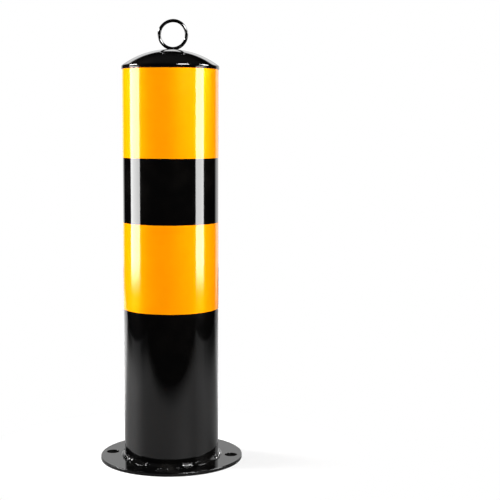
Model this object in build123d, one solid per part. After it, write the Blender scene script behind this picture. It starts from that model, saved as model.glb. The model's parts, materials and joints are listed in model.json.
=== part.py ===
from build123d import *
import math
import os

# Security bollard: a short round steel post that bolts to the ground.
# Millimetres, +Z up. The origin is the centre of the base disc's underside.
# The bolt holes lie on the X and Y axes, and the top ring stands in the XZ plane.

# Base disc, punched from plate, wider than the pipe by its projection all round
flange_projection = 29.0
flange_thickness = 4.0
flange_top_edge_radius = 0.8
flange_bottom_edge_radius = 0.3
bolt_hole_inset = 13.0
bolt_hole_diameter = 15.0
bolt_hole_count = 4
bolt_hole_edge_radius = 0.4

# Post, a length of steel pipe that stands on the disc
tube_diameter = 114.0
tube_wall = 2.0
tube_length = 469.2

# Fillet weld round the foot of the pipe
foot_weld_leg = 3.6
foot_weld_crown = 0.4

# Cap, pressed from sheet, whose rim slips over the pipe's end
cap_sheet = 1.0
cap_crown_radius = 96.0
cap_bend_radius = 2.2
cap_lap = 3.2
cap_side_clearance = 0.1
cap_seat_clearance = 0.35

# Reflective film, wrapped round the pipe and lapped at the back
film_thickness = 0.3
film_band_height = 104.0
film_band_spacing = 77.0
film_gap_below_cap = 0.3
film_lap_width = 10.0

# Ring of round wire, a little off the post's axis, its foot melted onto the dome
ring_wire_diameter = 4.0
ring_centre_diameter = 32.8
ring_side_offset = 3.1
ring_seat_depth = 1.2

# Weld puddle round the ring's foot
ring_weld_length = 14.0
ring_weld_reach = 2.2
ring_weld_height = 1.5

# Radii and heights that follow from the sizes above
tube_radius = tube_diameter / 2
tube_top = flange_thickness + tube_length
flange_radius = tube_radius + flange_projection
bolt_hole_radius = bolt_hole_diameter / 2
bolt_circle_radius = flange_radius - bolt_hole_inset
film_radius = tube_radius + film_thickness
cap_rim = tube_top - cap_lap
cap_inner_radius = tube_radius + cap_side_clearance
cap_outer_radius = cap_inner_radius + cap_sheet
crown_inner_radius = cap_crown_radius - cap_sheet
cap_seat = tube_top + cap_seat_clearance
crown_centre = cap_seat - math.sqrt(crown_inner_radius**2 - cap_inner_radius**2)
ring_centre_radius = ring_centre_diameter / 2
ring_wire_radius = ring_wire_diameter / 2
dome_at_ring = crown_centre + math.sqrt(cap_crown_radius**2 - ring_side_offset**2)
ring_centre = dome_at_ring - ring_seat_depth + ring_wire_radius + ring_centre_radius
upper_band_bottom = cap_rim - film_gap_below_cap - film_band_height
lower_band_bottom = upper_band_bottom - film_band_spacing - film_band_height

STANDING = (Align.CENTER, Align.CENTER, Align.MIN)


def pipe(outer_radius, inner_radius, bottom, top):
    """A round pipe on the Z axis between two heights."""
    section = Circle(outer_radius) - Circle(inner_radius)
    return extrude(Pos(0, 0, bottom) * section, amount=top - bottom)


def round_edges(solid, radius, height):
    """The circular edges of a solid that have this radius and lie at this height."""
    circles = solid.edges().filter_by(GeomType.CIRCLE)
    return [
        edge
        for edge in circles
        if math.isclose(edge.radius, radius, abs_tol=1e-4)
        and math.isclose(edge.arc_center.Z, height, abs_tol=1e-4)
    ]


def make_base_flange():
    """A flat disc with bolt holes, its upper edges rounded by the punch."""
    disc = Cylinder(flange_radius, flange_thickness, align=STANDING)
    hole = Cylinder(bolt_hole_radius, flange_thickness, align=STANDING)
    holes = PolarLocations(bolt_circle_radius, bolt_hole_count) * hole
    plate = disc - holes
    plate = fillet(round_edges(plate, flange_radius, flange_thickness), flange_top_edge_radius)
    plate = fillet(round_edges(plate, flange_radius, 0), flange_bottom_edge_radius)
    mouths = round_edges(plate, bolt_hole_radius, flange_thickness)
    return fillet(mouths, bolt_hole_edge_radius)


def make_foot_weld():
    """A ring of weld in the corner between disc and pipe, its face a little crowned."""
    corner = (tube_radius, flange_thickness)
    toe = (tube_radius + foot_weld_leg, flange_thickness)
    top = (tube_radius, flange_thickness + foot_weld_leg)
    push = foot_weld_leg / 2 + foot_weld_crown * math.sqrt(0.5)
    crown = (tube_radius + push, flange_thickness + push)
    outline = Polyline(top, corner, toe) + ThreePointArc(toe, crown, top)
    return revolve(Plane.XZ * make_face(outline), axis=Axis.Z)


def make_film_band(bottom):
    """One turn of film on the pipe, with a double strip where its end laps at the back."""
    top = bottom + film_band_height
    wrap = pipe(film_radius, tube_radius, bottom, top)
    second_layer = pipe(film_radius + film_thickness, film_radius, bottom, top)
    behind = Pos(0, film_radius, bottom)
    strip = behind * Box(film_lap_width, film_radius, film_band_height, align=STANDING)
    return wrap + (second_layer & strip)


def dome(crown_radius, rim_radius, bend_radius):
    """The full solid below a domed skin: part of a ball on a short drum, its edge bent."""
    ball = Pos(0, 0, crown_centre) * Sphere(crown_radius)
    drum = Pos(0, 0, cap_rim) * Cylinder(rim_radius, crown_radius, align=STANDING)
    body = ball & drum
    bend_height = crown_centre + math.sqrt(crown_radius**2 - rim_radius**2)
    return fillet(round_edges(body, rim_radius, bend_height), bend_radius)


cap_outside = dome(cap_crown_radius, cap_outer_radius, cap_bend_radius)
cap_inside = dome(crown_inner_radius, cap_inner_radius, cap_bend_radius - cap_sheet)


def make_top_ring():
    """A wire hoop that stands on edge, its foot cut to the dome that it is welded to."""
    hoop = Rot(90, 0, 0) * Torus(ring_centre_radius, ring_wire_radius)
    return Pos(ring_side_offset, 0, ring_centre) * hoop - cap_outside


def make_ring_weld(ring):
    """A low oval puddle on the dome, as long as the hoop's foot, with the hoop through it."""
    half_length = ring_weld_length / 2
    half_width = ring_wire_radius + ring_weld_reach
    puddle = scale(Sphere(1), by=(half_length, half_width, ring_weld_height))
    return Pos(ring_side_offset, 0, dome_at_ring) * puddle - cap_outside - ring


top_ring = make_top_ring()

nodes = {
    "base_flange": make_base_flange(),
    "tube": pipe(tube_radius, tube_radius - tube_wall, flange_thickness, tube_top),
    "foot_weld": make_foot_weld(),
    "upper_yellow_band": make_film_band(upper_band_bottom),
    "lower_yellow_band": make_film_band(lower_band_bottom),
    "cap": cap_outside - cap_inside,
    "top_ring": top_ring,
    "ring_weld": make_ring_weld(top_ring),
}

os.makedirs("parts", exist_ok=True)
for name, solid in nodes.items():
    export_step(solid, f"parts/{name}.step")
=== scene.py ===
import json
import math

import bmesh
import bpy
import numpy as np
from mathutils import Euler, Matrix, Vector


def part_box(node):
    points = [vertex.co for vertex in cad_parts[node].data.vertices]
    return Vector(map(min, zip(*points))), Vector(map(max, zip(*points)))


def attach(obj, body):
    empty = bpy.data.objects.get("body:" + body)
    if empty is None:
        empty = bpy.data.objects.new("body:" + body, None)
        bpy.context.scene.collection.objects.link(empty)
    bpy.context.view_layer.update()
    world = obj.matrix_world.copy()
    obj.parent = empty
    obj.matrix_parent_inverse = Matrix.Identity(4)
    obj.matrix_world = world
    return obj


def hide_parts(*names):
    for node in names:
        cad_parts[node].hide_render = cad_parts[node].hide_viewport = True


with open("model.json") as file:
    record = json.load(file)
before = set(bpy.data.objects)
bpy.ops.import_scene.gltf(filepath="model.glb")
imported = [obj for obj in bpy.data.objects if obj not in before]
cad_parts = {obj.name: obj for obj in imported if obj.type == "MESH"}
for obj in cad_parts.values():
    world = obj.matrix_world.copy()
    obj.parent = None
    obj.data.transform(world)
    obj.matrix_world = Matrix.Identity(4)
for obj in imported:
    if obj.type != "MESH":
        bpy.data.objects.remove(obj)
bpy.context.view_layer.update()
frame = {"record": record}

# Base disc: 4 mm steel plate punched to a round with four bolt holes, its upper edges
# rolled over by the punch, coated gloss black together with the rest of the post. It lies
# flat on the ground and the pipe is welded to the middle of it.

low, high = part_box("base_flange")
flange_radius = high.x
flange_top = high.z
flange_top_edge = 0.0008
flange_bottom_edge = 0.0003
hole_edge = 0.0004
hole_pattern = next(m for m in frame["record"]["mounts"] if m["name"] == "ground_bolts")["dims"]
hole_circle_radius = hole_pattern["pcd_mm"] / 2000
hole_radius = hole_pattern["hole_r_mm"] / 1000
hole_count = hole_pattern["count"]
turns = 256
row_bunching = 1.4


def rounded(corners, radii, steps=6):
    """Outline through (r, z) corners. Each corner with a radius becomes an arc, which starts and
    ends at radius * tan(turn / 2) from the corner: point = centre - n cos(a) radius + u sin(a)
    radius, with u the way in and n the inward normal. A point a fifth of the radius before and
    after each arc keeps the long faces flat in the shading."""
    corners = np.asarray(corners, float)
    outline = [corners[:1]]
    for before, corner, after, radius in zip(corners, corners[1:], corners[2:], radii):
        way_in = (corner - before) / np.linalg.norm(corner - before)
        way_out = (after - corner) / np.linalg.norm(after - corner)
        turn = math.acos(np.clip(way_in @ way_out, -1, 1))
        reach = radius * math.tan(turn / 2)
        inward = way_out - (way_out @ way_in) * way_in
        inward /= np.linalg.norm(inward)
        start = corner - way_in * reach
        angle = np.linspace(0, turn, steps + 1)[:, None]
        arc = start + inward * radius * (1 - np.cos(angle)) + way_in * radius * np.sin(angle)
        outline += [start[None] - way_in * radius / 5, arc, arc[-1:] + way_out * radius / 5]
    return np.concatenate(outline + [corners[-1:]])


def turned(outline, columns=turns):
    """Surface of revolution: each (r, z) of the outline goes round the Z axis,
    x = r cos a, y = r sin a, with a from 0 to a full turn."""
    angle = np.linspace(0, 2 * math.pi, columns + 1)
    r, z = np.asarray(outline).T
    return np.stack([np.outer(r, np.cos(angle)), np.outer(r, np.sin(angle)),
                     np.outer(z, np.ones(columns + 1))], axis=-1)


def piece_from(name, grids, sharp_angle=50):
    """One closed mesh from grids of points (rows x columns x 3). Each cell of a grid is a quad
    between four neighbours; points within two microns become one, which closes seams and poles;
    normals are turned outward, and only edges sharper than the given angle stay sharp."""
    quads = []
    first = 0
    for grid in grids:
        rows, columns = grid.shape[:2]
        at = first + np.arange(rows * columns).reshape(rows, columns)
        cells = np.stack([at[:-1, :-1], at[:-1, 1:], at[1:, 1:], at[1:, :-1]], axis=-1)
        quads.append(cells.reshape(-1, 4))
        first += rows * columns
    quads = np.concatenate(quads)
    points = np.concatenate([grid.reshape(-1, 3) for grid in grids])
    mesh = bpy.data.meshes.new(name)
    mesh.vertices.add(len(points))
    mesh.vertices.foreach_set("co", points.astype(np.float32).ravel())
    mesh.loops.add(quads.size)
    mesh.loops.foreach_set("vertex_index", quads.astype(np.int32).ravel())
    mesh.polygons.add(len(quads))
    mesh.polygons.foreach_set("loop_start", np.arange(0, quads.size, 4, dtype=np.int32))
    mesh.update(calc_edges=True)
    shell = bmesh.new()
    shell.from_mesh(mesh)
    bmesh.ops.remove_doubles(shell, verts=shell.verts, dist=2e-6)
    bmesh.ops.recalc_face_normals(shell, faces=shell.faces)
    shell.to_mesh(mesh)
    shell.free()
    mesh.polygons.foreach_set("use_smooth", np.ones(len(mesh.polygons), bool))
    mesh.set_sharp_from_angle(angle=math.radians(sharp_angle))
    piece = bpy.data.objects.new(name, mesh)
    bpy.context.scene.collection.objects.link(piece)
    return piece


def hole_sector(hole_r, rim_r, height, columns_on_arc, rows=14):
    """Flat quarter of the disc round one hole. Row parameter t runs from the hole's circle (0) to
    the quarter's outline (1), which is a straight edge out from the disc's centre, the rim's arc
    from -45 to 45 degrees, and the straight edge back: point = (1 - t) hole + t outline. The
    rows are bunched toward the hole, and one close to each end keeps the face flat there."""
    columns_on_edge = columns_on_arc * 3 // 8
    half_turn = math.pi / hole_count
    arc_angle = np.linspace(-half_turn, half_turn, columns_on_arc + 1)
    arc = rim_r * np.stack([np.cos(arc_angle), np.sin(arc_angle)], axis=-1)
    share = np.linspace(0, 1, columns_on_edge + 1)[:-1, None]
    outline = np.concatenate([share * arc[0], arc, (share * arc[-1])[::-1]])
    angle = np.linspace(-math.pi, math.pi, len(outline))
    hole = np.stack([hole_circle_radius + hole_r * np.cos(angle), hole_r * np.sin(angle)], axis=-1)
    t = np.concatenate([[0, 0.012], np.linspace(0.03, 0.97, rows), [1]])[:, None, None]
    t = t ** row_bunching
    flat = (1 - t) * hole + t * outline
    return np.concatenate([flat, np.full(flat.shape[:2] + (1,), height)], axis=-1)


def hole_wall(columns):
    """Wall of one hole: the (r, z) outline goes round the hole's own axis, with the same
    columns as the flat faces above and below."""
    outline = rounded([(hole_radius + 2 * hole_edge, flange_top), (hole_radius, flange_top),
                       (hole_radius, 0)], [hole_edge])[2:]
    angle = np.linspace(-math.pi, math.pi, columns)
    r, z = outline.T
    return np.stack([hole_circle_radius + np.outer(r, np.cos(angle)),
                     np.outer(r, np.sin(angle)), np.outer(z, np.ones(columns))], axis=-1)


def round_holes(grid):
    """The same grid once for each hole, turned about the Z axis by equal steps."""
    copies = []
    for number in range(hole_count):
        a = 2 * math.pi * number / hole_count
        turn = np.array([[math.cos(a), math.sin(a), 0], [-math.sin(a), math.cos(a), 0], [0, 0, 1]])
        copies.append(grid @ turn)
    return copies


flange_rim = rounded(
    [(flange_radius - 2 * flange_top_edge, flange_top), (flange_radius, flange_top),
     (flange_radius, 0), (flange_radius - 2 * flange_bottom_edge, 0)],
    [flange_top_edge, flange_bottom_edge])[2:-2]
upper_face = hole_sector(hole_radius + hole_edge, flange_radius - flange_top_edge, flange_top,
                         turns // hole_count)
under_face = hole_sector(hole_radius, flange_radius - flange_bottom_edge, 0,
                         turns // hole_count)
flange_grids = (round_holes(upper_face) + round_holes(under_face)
                + round_holes(hole_wall(upper_face.shape[1])) + [turned(flange_rim)])
base_flange = piece_from("flange_plate", flange_grids)


class Value:
    """A node's output that plain arithmetic works on: each operation adds one Math node."""

    def __init__(self, finish, socket):
        self.finish = finish
        self.socket = socket

    def math(self, operation, first, second=0.0):
        return self.finish.add("ShaderNodeMath", {"operation": operation}, {0: first, 1: second})

    def __abs__(self):
        return self.math("ABSOLUTE", self)

    def __add__(self, other):
        return self.math("ADD", self, other)

    def __sub__(self, other):
        return self.math("SUBTRACT", self, other)

    def __rsub__(self, other):
        return self.math("SUBTRACT", other, self)

    def __mul__(self, other):
        return self.math("MULTIPLY", self, other)


class Finish:
    """The nodes of one material or of the world."""

    def __init__(self, owner):
        owner.use_nodes = True
        self.nodes = owner.node_tree.nodes
        self.links = owner.node_tree.links
        self.nodes.clear()

    def add(self, kind, settings=None, sockets=None, give=0):
        """Adds a node of a kind, applies its settings, then fills its sockets with plain values
        or with links from other nodes. Hands back one of its outputs."""
        node = self.nodes.new(kind)
        for setting, choice in (settings or {}).items():
            setattr(node, setting, choice)
        for place, given in (sockets or {}).items():
            if isinstance(given, Value):
                self.links.new(given.socket, node.inputs[place])
            else:
                node.inputs[place].default_value = given
        return Value(self, node.outputs[give]) if len(node.outputs) else None

    def blend(self, amount, first, second):
        """Colour that goes from the first to the second with amount 0 to 1."""
        return self.add("ShaderNodeMix", {"data_type": "RGBA"},
                        {0: amount, 6: first, 7: second}, give=2)

    def rise(self, value, start, end, low=0.0, high=1.0):
        """Smooth step: low below start, high above end."""
        return self.add("ShaderNodeMapRange", {"interpolation_type": "SMOOTHSTEP"},
                        {0: value, 1: start, 2: end, 3: low, 4: high})

    def noise(self, place, size, detail=2.0, roughness=0.5):
        """Cloudy noise from 0 to 1 whose lumps are about size metres apart."""
        return self.add("ShaderNodeTexNoise", {},
                        {"Vector": place, "Scale": 1 / size, "Detail": detail,
                         "Roughness": roughness})

    def place(self):
        """Place on the object in metres."""
        return self.add("ShaderNodeTexCoord", give="Object")

    def along(self, vector, way):
        """How far a vector goes along a way of length one."""
        return self.add("ShaderNodeVectorMath", {"operation": "DOT_PRODUCT"},
                        {0: vector, 1: way}, give="Value")


def black_coat(name, peel=0.000006, dust=0.0, coat_roughness=0.07, gloss=0.4):
    """Gloss black powder coat on steel: near-black with a cloud of slightly browner black, the
    fine orange peel of baked powder as bump, and a thin scatter of dust that dulls the gloss."""
    black = (0.0011, 0.0011, 0.0012, 1)
    browner_black = (0.0017, 0.0015, 0.0014, 1)
    dust_grey = (0.30, 0.29, 0.28, 1)
    speck_spacing = 0.0032
    material = bpy.data.materials.new(name)
    finish = Finish(material)
    where = finish.place()
    cloud = finish.noise(where, 0.035, 3.0)
    grain = finish.noise(where, 0.0011, 3.0, 0.6)
    specks = finish.add("ShaderNodeTexVoronoi", {}, {"Vector": where, "Scale": 1 / speck_spacing})
    dusty_patch = finish.rise(finish.noise(where, 0.017, 2.0), 0.52, 0.7)
    speck = finish.rise(specks, 0.11, 0.06) * dusty_patch
    haze = finish.rise(cloud, 0.45, 0.75) * 0.35 + speck
    colour = finish.blend(finish.rise(cloud, 0.3, 0.7), black, browner_black)
    colour = finish.blend(haze * dust, colour, dust_grey)
    roughness = haze * (0.05 + dust * 0.8) + grain * 0.02 + (coat_roughness - 0.01)
    peel_height = finish.noise(where, 0.0026, 1.0) * 0.7 + grain * 0.3
    bump = finish.add("ShaderNodeBump", {},
                      {"Strength": 1.0, "Distance": peel, "Height": peel_height})
    surface = finish.add("ShaderNodeBsdfPrincipled", {},
                         {"Base Color": colour, "Roughness": roughness, "Normal": bump,
                          "Specular IOR Level": gloss})
    finish.add("ShaderNodeOutputMaterial", {}, {"Surface": surface})
    return material


def dress(piece, node, material):
    """Gives a finished piece its material, and lets it stand for its CAD node."""
    piece.data.materials.append(material)
    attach(piece, "root")
    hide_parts(node)


dress(base_flange, "base_flange",
      black_coat("coat_on_plate", peel=0.000010, dust=0.06, gloss=0.205))

# Post: one length of 114 mm steel pipe with a 2 mm wall, cut square and a little broken at
# the edges, coated gloss black. It stands on the disc, and it shows bare of film in the
# band between the two yellow ones and over the lower third.

low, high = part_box("tube")
pipe_radius = high.x
pipe_foot = low.z
pipe_top = high.z
pipe_wall = 0.002
cut_edge = 0.0003
pipe_middle = (pipe_foot + pipe_top) / 2
pipe_outline = rounded(
    [(pipe_radius, pipe_middle), (pipe_radius, pipe_top), (pipe_radius - pipe_wall, pipe_top),
     (pipe_radius - pipe_wall, pipe_foot), (pipe_radius, pipe_foot), (pipe_radius, pipe_middle)],
    [cut_edge] * 4, steps=3)
tube = piece_from("post_pipe", [turned(pipe_outline)])
dress(tube, "tube", black_coat("coat_on_pipe", peel=0.000004, dust=0.01, coat_roughness=0.06))

# Foot weld: a fillet bead laid by hand all round the corner between pipe and disc, under
# the same black coat. It is nearly flat with faint crescent ripples and a toe that wanders
# a little on the plate, and it swells into lumps where the welder stopped and started.

low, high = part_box("foot_weld")
weld_leg = high.x - pipe_radius
toe_reach = weld_leg + 0.0006
top_climb = weld_leg - 0.0009
weld_wander = 0.0002
weld_fullness = 0.0001
ripple_pitch = 0.0021
ripple_height = 0.00007
ripple_bow = 0.0011
bow_wander = 0.0008
lump_spread = 0.4
weld_draws = np.random.default_rng(7)
# Angle round the post in degrees from +X, half length along the bead and height of each lump
weld_lumps = [(-65, 0.0085, 0.0011), (-112, 0.0009, 0.0009), (-136, 0.0012, 0.0012),
              (-142, 0.0011, 0.0012), (-148, 0.0011, 0.0012), (-154, 0.0011, 0.0011),
              (-18, 0.0013, 0.0009), (-9, 0.0014, 0.0012), (-1, 0.0013, 0.0008),
              (27, 0.0050, 0.0007), (61, 0.0030, 0.0009), (98, 0.0060, 0.0008),
              (139, 0.0024, 0.0010), (172, 0.0045, 0.0007)]


def wander(angle, draws, lowest, highest, size):
    """Seamless uneven line round a turn: sum of sin(k a + phase) over whole numbers k between
    lowest and highest, with random phases and weights, scaled to size."""
    k = np.arange(lowest, highest + 1)[:, None]
    phase = draws.uniform(0, 2 * math.pi, k.shape)
    weight = draws.uniform(0.3, 1, k.shape)
    line = (weight * np.sin(k * angle + phase)).sum(0)
    return size * line / np.abs(line).max()


def lump_heights(angle, radius):
    """Height of the lumps along the bead: each is height (1 - d^4)^2 for the distance d from
    its middle in half lengths, and nothing farther out."""
    middle, half_length, height = np.array(weld_lumps).T[:, :, None]
    away = np.angle(np.exp(1j * (angle - np.radians(middle)))) * radius / half_length
    return (height * np.clip(1 - away ** 4, 0, 1) ** 2).max(0)


def weld_bead(columns=1680, rows=12):
    """Bead in the corner: at angle a round the foot the face goes from the toe on the plate
    (t = 0) to the top on the pipe (t = 1) as a straight line pushed out by its fullness and
    the lumps times sin(pi t). Ripples are sin(p + sin(p) / 2) with p = 2 pi (arc + bow) / pitch,
    and bow grows toward the toe and the top, which bends each ripple into a crescent. They
    stand higher on a lump. The outline closes in the corner."""
    a = np.linspace(0, 2 * math.pi, columns + 1)
    face_radius = pipe_radius + weld_leg / 2
    lump = lump_heights(a, face_radius)
    reach = toe_reach + wander(a, weld_draws, 4, 16, weld_wander) + lump_spread * lump
    climb = top_climb + wander(a, weld_draws, 4, 16, weld_wander) + lump_spread * lump
    t = np.linspace(0, 1, rows)[:, None]
    ripple_count = round(2 * math.pi * face_radius / ripple_pitch)
    bow = ripple_bow * (2 * t - 1) ** 2 + wander(a, weld_draws, 2, 30, bow_wander)
    p = ripple_count * (a + bow / face_radius)
    ripple = ripple_height * np.sin(p + np.sin(p) / 2) * np.sin(math.pi * t) ** 0.6
    on_lump = np.clip(lump / 0.0004, 0, 1)
    ripple = ripple * (1 + 0.6 * on_lump)
    push = ((weld_fullness + lump) * np.sin(math.pi * t) + ripple) * math.sqrt(0.5)
    r = pipe_radius + reach * (1 - t) + push
    z = flange_top + climb * t + push
    corner_r = np.full((1, columns + 1), pipe_radius)
    corner_z = np.full((1, columns + 1), flange_top)
    r = np.concatenate([corner_r, r, corner_r])
    z = np.concatenate([corner_z, z, corner_z])
    return np.stack([r * np.cos(a), r * np.sin(a), z], axis=-1)


foot_weld = piece_from("foot_weld_bead", [weld_bead()], sharp_angle=60)
dress(foot_weld, "foot_weld", black_coat("coat_on_weld", peel=0.000012, dust=0.04))

# Yellow bands: two wraps of self-adhesive reflective film, a clear gloss face over an
# orange-yellow layer with a metallised back, put round the pipe by hand after coating. The
# end of each wrap climbs over its beginning at the back and laps it by a finger's width.

film_thickness = 0.0003
lap_width = 0.010
ramp_width = 0.0016
film_edge = 0.00008


def film_wrap(bottom, top, columns=361, lap_columns=9):
    """Strip carried round the pipe: its (r, z) outline follows the angle a from the lap's start
    over a full turn and on to the lap's end, and moves out by one thickness, as a smooth step,
    where it climbs onto its own beginning. Both ends are pinched shut."""
    half_lap = lap_width / 2 / pipe_radius
    start = math.pi / 2 - half_lap
    over = start + 2 * math.pi
    end = over + 2 * half_lap
    climb_start = over - ramp_width / pipe_radius
    a = np.unique(np.concatenate([np.linspace(start, climb_start, columns),
                                  np.linspace(climb_start, over, lap_columns),
                                  np.linspace(over, end, lap_columns)]))
    step = np.clip((a - climb_start) / (over - climb_start), 0, 1)
    lift = film_thickness * step * step * (3 - 2 * step)
    outer = pipe_radius + film_thickness
    outline = rounded([(pipe_radius, bottom), (outer, bottom), (outer, top), (pipe_radius, top)],
                      [film_edge] * 2, steps=3)
    outline = np.concatenate([outline, outline[:1]])
    r = outline[:, :1] + lift
    z = np.broadcast_to(outline[:, 1:], r.shape)
    grid = np.stack([r * np.cos(a), r * np.sin(a), z], axis=-1)
    middle_r = pipe_radius + film_thickness / 2 + lift[[0, -1]]
    flat_z = np.where(outline[:, 1] > (bottom + top) / 2, top, bottom)
    pinch = np.stack([np.outer(np.ones_like(flat_z), middle_r * np.cos(a[[0, -1]])),
                      np.outer(np.ones_like(flat_z), middle_r * np.sin(a[[0, -1]])),
                      np.stack([flat_z, flat_z], axis=-1)], axis=-1)
    return np.concatenate([pinch[:, :1], grid, pinch[:, 1:]], axis=1)


def yellow_film():
    """Reflective film: under a clear gloss face lies an orange-yellow layer with a faint cloud
    of a deeper tone, whose metallised back throws part of the light back in a soft tinted
    lobe, a little uneven from the fine grain and the slight waviness of the layer."""
    orange_yellow = (0.98, 0.305, 0.0004, 1)
    deeper_yellow = (0.95, 0.285, 0.0003, 1)
    waviness = 0.000004
    material = bpy.data.materials.new("yellow_film")
    finish = Finish(material)
    where = finish.place()
    cloud = finish.noise(where, 0.03, 3.0)
    grain = finish.noise(where, 0.0008, 2.0, 0.6)
    colour = finish.blend(finish.rise(cloud, 0.3, 0.7), orange_yellow, deeper_yellow)
    roughness = finish.rise(cloud, 0.4, 0.75) * 0.05 + grain * 0.04 + 0.32
    bump = finish.add("ShaderNodeBump", {},
                      {"Strength": 1.0, "Distance": waviness,
                       "Height": finish.noise(where, 0.0035, 1.0) * 0.7 + grain * 0.3})
    surface = finish.add("ShaderNodeBsdfPrincipled", {},
                         {"Base Color": colour, "Roughness": roughness, "Normal": bump,
                          "Metallic": 0.13, "Specular IOR Level": 0.0, "Coat Weight": 1.0,
                          "Coat Roughness": 0.06, "Coat IOR": 1.40})
    finish.add("ShaderNodeOutputMaterial", {}, {"Surface": surface})
    return material


film_material = yellow_film()
for node in ("lower_yellow_band", "upper_yellow_band"):
    low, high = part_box(node)
    wrap = piece_from(node.replace("_band", "_wrap"), [film_wrap(low.z, high.z)])
    dress(wrap, node, film_material)

# Cap: a shallow dome pressed from 1 mm sheet with a tight bend and a short turned-down rim
# that slips over the pipe's end, coated black with the post. The rim is a little uneven
# from the press and from being knocked on.

low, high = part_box("cap")
cap_rim_z = low.z
cap_apex_z = high.z
cap_side_radius = high.x
cap_sheet = 0.001
crown_radius = 0.096
bend_radius = 0.0022
rim_edge = 0.0005
crown_centre_z = cap_apex_z - crown_radius
uneven_from = 0.0525
uneven_over = 0.005
rim_unevenness = 0.00010
cap_draws = np.random.default_rng(11)


def dome_skin(radius, side_radius, bend, crown_rows=40, bend_rows=10):
    """Outline of one skin, from the apex to the side: an arc of the crown's ball, r = R sin a and
    z = centre + R cos a, then the bend's arc about its own centre, which touches ball and side."""
    bend_r = side_radius - bend
    tangent = math.asin(bend_r / (radius - bend))
    bend_z = crown_centre_z + (radius - bend) * math.cos(tangent)
    a = np.linspace(0, tangent, crown_rows)
    crown = np.stack([radius * np.sin(a), crown_centre_z + radius * np.cos(a)], axis=-1)
    a = np.linspace(tangent, math.pi / 2, bend_rows)[1:]
    corner = np.stack([bend_r + bend * np.sin(a), bend_z + bend * np.cos(a)], axis=-1)
    return np.concatenate([crown, corner])


outer_skin = dome_skin(crown_radius, cap_side_radius, bend_radius)
inner_skin = dome_skin(crown_radius - cap_sheet, cap_side_radius - cap_sheet,
                       bend_radius - cap_sheet)
cap_turn = rounded([outer_skin[-1], (cap_side_radius, cap_rim_z),
                    (cap_side_radius - cap_sheet, cap_rim_z), inner_skin[-1]],
                   [rim_edge] * 2, steps=4)
cap_grid = turned(np.concatenate([outer_skin, cap_turn[1:-1], inner_skin[::-1]]))
cap_angle = np.linspace(0, 2 * math.pi, turns + 1)
from_axis = np.hypot(cap_grid[..., 0], cap_grid[..., 1])
rim_share = np.clip((from_axis - uneven_from) / uneven_over, 0, 1)
cap_grid[..., 2] += rim_share * wander(cap_angle, cap_draws, 3, 22, rim_unevenness)
cap = piece_from("dome_cap", [cap_grid])
dress(cap, "cap", black_coat("coat_on_cap", peel=0.000006, dust=0.01))

# Top ring: 4 mm round wire bent to a hoop by hand, stood on edge a little to the right of
# the post's axis and welded to the dome, then coated. It isn't quite round, and the wire
# swells a little where its two ends were closed.

low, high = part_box("top_ring")
wire_radius = (high.y - low.y) / 2
hoop_radius = (high.x - low.x) / 2 - wire_radius
hoop_x = (high.x + low.x) / 2
hoop_z = high.z - wire_radius - hoop_radius
hoop_unroundness = 0.00012
wire_unevenness = 0.00003
closing_angle = math.radians(168)
closing_width = 0.09
closing_swell = 0.00016
hoop_draws = np.random.default_rng(5)


def wire_hoop(columns=240, rows=40):
    """Torus in the XZ plane: centre line (hoop + wobble) (cos a, sin a), section round it at
    angle b with radius wire + swelling. What would dip below the crown's ball is moved out
    onto it, away from the ball's centre."""
    a = np.linspace(0, 2 * math.pi, columns + 1)
    b = np.linspace(0, 2 * math.pi, rows + 1)[:, None]
    from_closing = np.angle(np.exp(1j * (a - closing_angle)))
    swelling = closing_swell * np.exp(-(from_closing / closing_width) ** 2)
    line = hoop_radius - hoop_unroundness + wander(a, hoop_draws, 2, 5, hoop_unroundness)
    section = (wire_radius - wire_unevenness + swelling
               + wander(a, hoop_draws, 4, 12, wire_unevenness))
    out = line + section * np.cos(b)
    points = np.stack([hoop_x + out * np.cos(a), section * np.sin(b) + 0 * a,
                       hoop_z + out * np.sin(a)], axis=-1)
    from_ball = points - (0, 0, crown_centre_z)
    distance = np.linalg.norm(from_ball, axis=-1, keepdims=True)
    return (0, 0, crown_centre_z) + from_ball * np.maximum(distance, crown_radius) / distance


top_ring = piece_from("wire_ring", [wire_hoop()])
dress(top_ring, "top_ring", black_coat("coat_on_ring", peel=0.000003, dust=0.02))

# Ring weld: a low puddle of weld metal along the ring's foot, melted into dome and wire,
# lumpy at its edge and coated over.

low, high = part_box("ring_weld")
puddle_x = (high.x + low.x) / 2
puddle_share = 0.95
puddle_length = puddle_share * (high.x - low.x) / 2
puddle_width = puddle_share * (high.y - low.y) / 2
puddle_height = 0.0015
puddle_edge = 0.06
puddle_lumps = 0.18
puddle_draws = np.random.default_rng(3)


def weld_puddle(columns=144, rows=16):
    """Oval mound on the ball: at share s out from the middle and angle a, the footprint is
    (length cos a, width sin a) s with an uneven edge, and the height over the ball is
    height sqrt(1 - s^2) with slow lumps. The underside lies on the ball."""
    a = np.linspace(0, 2 * math.pi, columns + 1)
    s = np.sin(np.linspace(0, math.pi / 2, rows))[:, None]
    edge = 1 + wander(a, puddle_draws, 3, 14, puddle_edge)
    x = puddle_x + puddle_length * edge * s * np.cos(a)
    y = puddle_width * edge * s * np.sin(a)
    lumps = 1 + s * wander(a, puddle_draws, 4, 12, puddle_lumps)
    mound = puddle_height * np.sqrt(1 - s * s) * lumps
    on_ball = np.sqrt(crown_radius ** 2 - x * x - y * y)
    upper = np.stack([x, y, crown_centre_z + on_ball + mound], axis=-1)
    under = np.stack([x, y, crown_centre_z + on_ball], axis=-1)
    return np.concatenate([upper, under[::-1]])


ring_weld = piece_from("ring_weld_puddle", [weld_puddle()])
dress(ring_weld, "ring_weld", black_coat("coat_on_puddle", peel=0.000010, dust=0.02))

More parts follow.
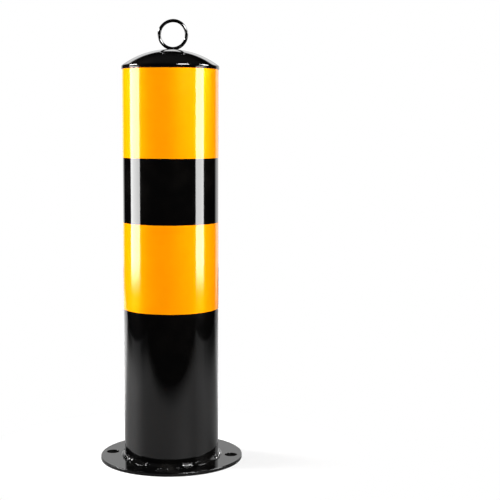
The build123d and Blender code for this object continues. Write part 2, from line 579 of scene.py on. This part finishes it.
# Floor: a plain pale sheet under the post. To the camera it is white away from the post and
# keeps the soft shadow there; under the disc its colour is near-black, a painted shade. In the
# gloss its colour is a painted pool of light: a faint one that fades out toward its front edge
# and its sides, a stronger one in a wedge behind the post, and black beyond.

view_azimuth = math.radians(8.56)


def around(azimuth, distance, height):
    """Place at an azimuth in degrees from the side that the camera looks from, to its right."""
    a = view_azimuth + math.radians(azimuth)
    return Vector((distance * math.sin(a), -distance * math.cos(a), height))


floor_front = 0.50
floor_back = 1.9
floor_side = 0.85
floor_z = -0.0002
# Painted light: how pale the floor's colour is in the gloss, in its patch and in the wedge behind
# the post.
painted_floor_light = 0.24
painted_wedge_light = 0.48
# Painted shade: near-black colour of the floor under the disc.
painted_shade_under_disc = (0.01, 0.01, 0.01, 1)
pale = (0.95, 0.95, 0.95, 1)


def flat_sheet(name, corners):
    """One quad through four corners."""
    mesh = bpy.data.meshes.new(name)
    mesh.from_pydata(corners, [], [(0, 1, 2, 3)])
    sheet = bpy.data.objects.new(name, mesh)
    bpy.context.scene.collection.objects.link(sheet)
    return sheet


toward = around(0, 1, 0)
aside = around(90, 1, 0)
down = Vector((0, 0, floor_z))
floor = flat_sheet("floor", [toward * floor_front - aside * floor_side + down,
                             toward * floor_front + aside * floor_side + down,
                             toward * -floor_back + aside * floor_side + down,
                             toward * -floor_back - aside * floor_side + down])
floor_material = bpy.data.materials.new("pale_floor")
finish = Finish(floor_material)
from_post = finish.add("ShaderNodeVectorMath", {"operation": "LENGTH"}, {0: finish.place()},
                       give="Value")
forward = finish.along(finish.place(), toward)
from_middle = abs(finish.along(finish.place(), aside))
# Painted light in the gloss: pale in a patch that fades toward the front edge and the sides, paler
# in a wedge behind the post, black beyond.
lit = (finish.rise(forward, floor_front, floor_front - 0.17)
       * finish.rise(from_middle, floor_side - 0.05, floor_side - 0.43))
in_wedge = finish.rise(forward + from_middle * 0.7, 0.0, -0.30)
painted_light_tone = finish.blend(lit * painted_floor_light + in_wedge * painted_wedge_light, (0, 0, 0, 1), (1, 1, 1, 1))
painted_light_floor = finish.add("ShaderNodeBsdfPrincipled", {},
                   {"Base Color": painted_light_tone, "Roughness": 0.60, "Specular IOR Level": 0.12})
# Under the disc the floor's colour is near-black, a painted shade, so the bolt holes show dark.
beside = finish.rise(from_post, flange_radius - 0.002, flange_radius)
shaded = finish.add("ShaderNodeBsdfDiffuse", {},
                    {"Color": finish.blend(beside, painted_shade_under_disc, pale)})
white = finish.add("ShaderNodeEmission", {}, {"Color": (1, 1, 1, 1), "Strength": 1.0})
shadow_fade = finish.rise(from_post, 0.09, 0.24, 0.6, 1.0)
seen = finish.add("ShaderNodeMixShader", {}, {0: beside * shadow_fade, 1: shaded, 2: white})
to_camera = finish.add("ShaderNodeLightPath", give="Is Camera Ray")
surface = finish.add("ShaderNodeMixShader", {}, {0: to_camera, 1: painted_light_floor, 2: seen})
finish.add("ShaderNodeOutputMaterial", {}, {"Surface": surface})
floor.data.materials.append(floor_material)

# World: plain white to the camera. To the gloss it is a white backdrop in a sector behind the
# post, from the ground up to a third of the way overhead, brighter to the right and toward
# its top, and a faint light straight above. The rest is dark, with a little even fill.

backdrop_left = math.radians(-31)
backdrop_right = math.radians(48)
backdrop_top = 0.50
overhead_light = 0.05
even_fill = 0.05
world = bpy.data.worlds.new("studio")
bpy.context.scene.world = world
finish = Finish(world)
way = finish.add("ShaderNodeTexCoord", give="Generated")
rearward = finish.along(way, toward * -1)
rightward = finish.along(way, aside)
upward = finish.add("ShaderNodeSeparateXYZ", {}, {0: way}, give="Z")
swing = finish.add("ShaderNodeMath", {"operation": "ARCTAN2"}, {0: rightward, 1: rearward})
backdrop = (finish.rise(swing, backdrop_left, backdrop_left + math.radians(6))
            * finish.rise(swing, backdrop_right, backdrop_right - math.radians(10))
            * finish.rise(upward, backdrop_top, backdrop_top - 0.04)
            * finish.rise(upward, 0.24, 0.38, 0.95, 1.75)
            * finish.rise(swing, 0.0, math.radians(40), 1.0, 1.35))
studio = backdrop + finish.rise(upward, 0.6, 0.9) * overhead_light
to_camera = finish.add("ShaderNodeLightPath", give="Is Camera Ray")
mirrored = (finish.add("ShaderNodeLightPath", give="Is Glossy Ray")
            + finish.add("ShaderNodeLightPath", give="Is Transmission Ray"))
strength = to_camera + (1 - to_camera) * (mirrored * studio + (1 - mirrored) * even_fill)
sky = finish.add("ShaderNodeBackground", {}, {"Color": (1, 1, 1, 1), "Strength": strength})
finish.add("ShaderNodeOutputWorld", {}, {"Surface": sky})

# Lamps: a softbox at each side of the post draws its upright stripe in the gloss, two lamps
# light the yellow, and three smaller ones draw the glints on the cap's bend, the ring and
# the foot weld.

softbox_distance = 2.6
softbox_foot = -0.171
softbox_head = 0.63
softbox_fade = 0.126
lamp_distance = 1.6
lamp_aim = Vector((0, 0, 0.3))


def softbox(name, azimuth, span, strength):
    """Upright panel across an azimuth, as wide as its span in degrees, which fades out toward
    its foot, is dark behind, and shows in the gloss alone."""
    half = softbox_distance * math.tan(math.radians(span) / 2)
    middle = around(azimuth, softbox_distance, 0)
    side = around(azimuth + 90, half, 0)
    foot = Vector((0, 0, softbox_foot))
    head = Vector((0, 0, softbox_head))
    panel = flat_sheet(name, [middle + side + foot, middle - side + foot,
                              middle - side + head, middle + side + head])
    material = bpy.data.materials.new(name)
    finish = Finish(material)
    height = finish.add("ShaderNodeSeparateXYZ", {}, {0: finish.place()}, give="Z")
    front = 1 - finish.add("ShaderNodeNewGeometry", give="Backfacing")
    lit = finish.rise(height, softbox_foot, softbox_foot + softbox_fade) * front
    glow = finish.add("ShaderNodeEmission", {},
                      {"Color": (1, 1, 1, 1), "Strength": lit * strength})
    finish.add("ShaderNodeOutputMaterial", {}, {"Surface": glow})
    panel.data.materials.append(material)
    panel.visible_camera = False
    panel.visible_diffuse = False


def area_lamp(name, azimuth, elevation, width, height, energy, shows_in_gloss):
    """Rectangular lamp at an elevation in degrees from the middle of the post, turned to it. It
    lights either the colours or the gloss, so that each is set apart."""
    rise = math.radians(elevation)
    place = around(azimuth, lamp_distance * math.cos(rise),
                   lamp_aim.z + lamp_distance * math.sin(rise))
    light = bpy.data.lights.new(name, "AREA")
    light.shape = "RECTANGLE"
    light.size = width
    light.size_y = height
    light.energy = energy
    lamp = bpy.data.objects.new(name, light)
    lamp.location = place
    lamp.rotation_euler = (place - lamp_aim).to_track_quat("Z", "Y").to_euler()
    bpy.context.scene.collection.objects.link(lamp)
    lamp.visible_camera = False
    lamp.visible_glossy = shows_in_gloss
    lamp.visible_diffuse = not shows_in_gloss


softbox("left_softbox", azimuth=-94.5, span=31.5, strength=15.0)
softbox("right_softbox", azimuth=73, span=23.5, strength=18.0)
area_lamp("left_colour", azimuth=-103, elevation=24, width=1.0, height=1.0,
          energy=90, shows_in_gloss=False)
area_lamp("front_colour", azimuth=37, elevation=24, width=1.0, height=1.0,
          energy=43, shows_in_gloss=False)
area_lamp("left_glint", azimuth=-100, elevation=28, width=0.70, height=0.20,
          energy=50, shows_in_gloss=True)
area_lamp("front_glint", azimuth=32, elevation=36, width=0.66, height=0.34,
          energy=90, shows_in_gloss=True)
area_lamp("right_glint", azimuth=90, elevation=27, width=0.46, height=0.90,
          energy=58, shows_in_gloss=True)

# Camera: a long lens 1.4 m away, a little below the post's top and looking slightly down,
# turned aside so that the post stands left of the middle of the frame.

camera_distance = 1.400
camera_height = 0.4019
camera_aside = math.radians(3.90)
camera_down = math.radians(6.007)
camera_roll = math.radians(0.216)
camera_data = bpy.data.cameras.new("camera")
camera_data.sensor_width = 36
camera_data.lens = 83.85
camera = bpy.data.objects.new("camera", camera_data)
camera.location = around(0, camera_distance, camera_height)
turn = (Euler((0, 0, view_azimuth - camera_aside)).to_matrix()
        @ Euler((math.pi / 2 - camera_down, 0, 0)).to_matrix()
        @ Euler((0, 0, camera_roll)).to_matrix())
camera.rotation_euler = turn.to_euler()
bpy.context.scene.collection.objects.link(camera)
bpy.context.scene.camera = camera
bpy.context.scene.view_settings.view_transform = "Standard"
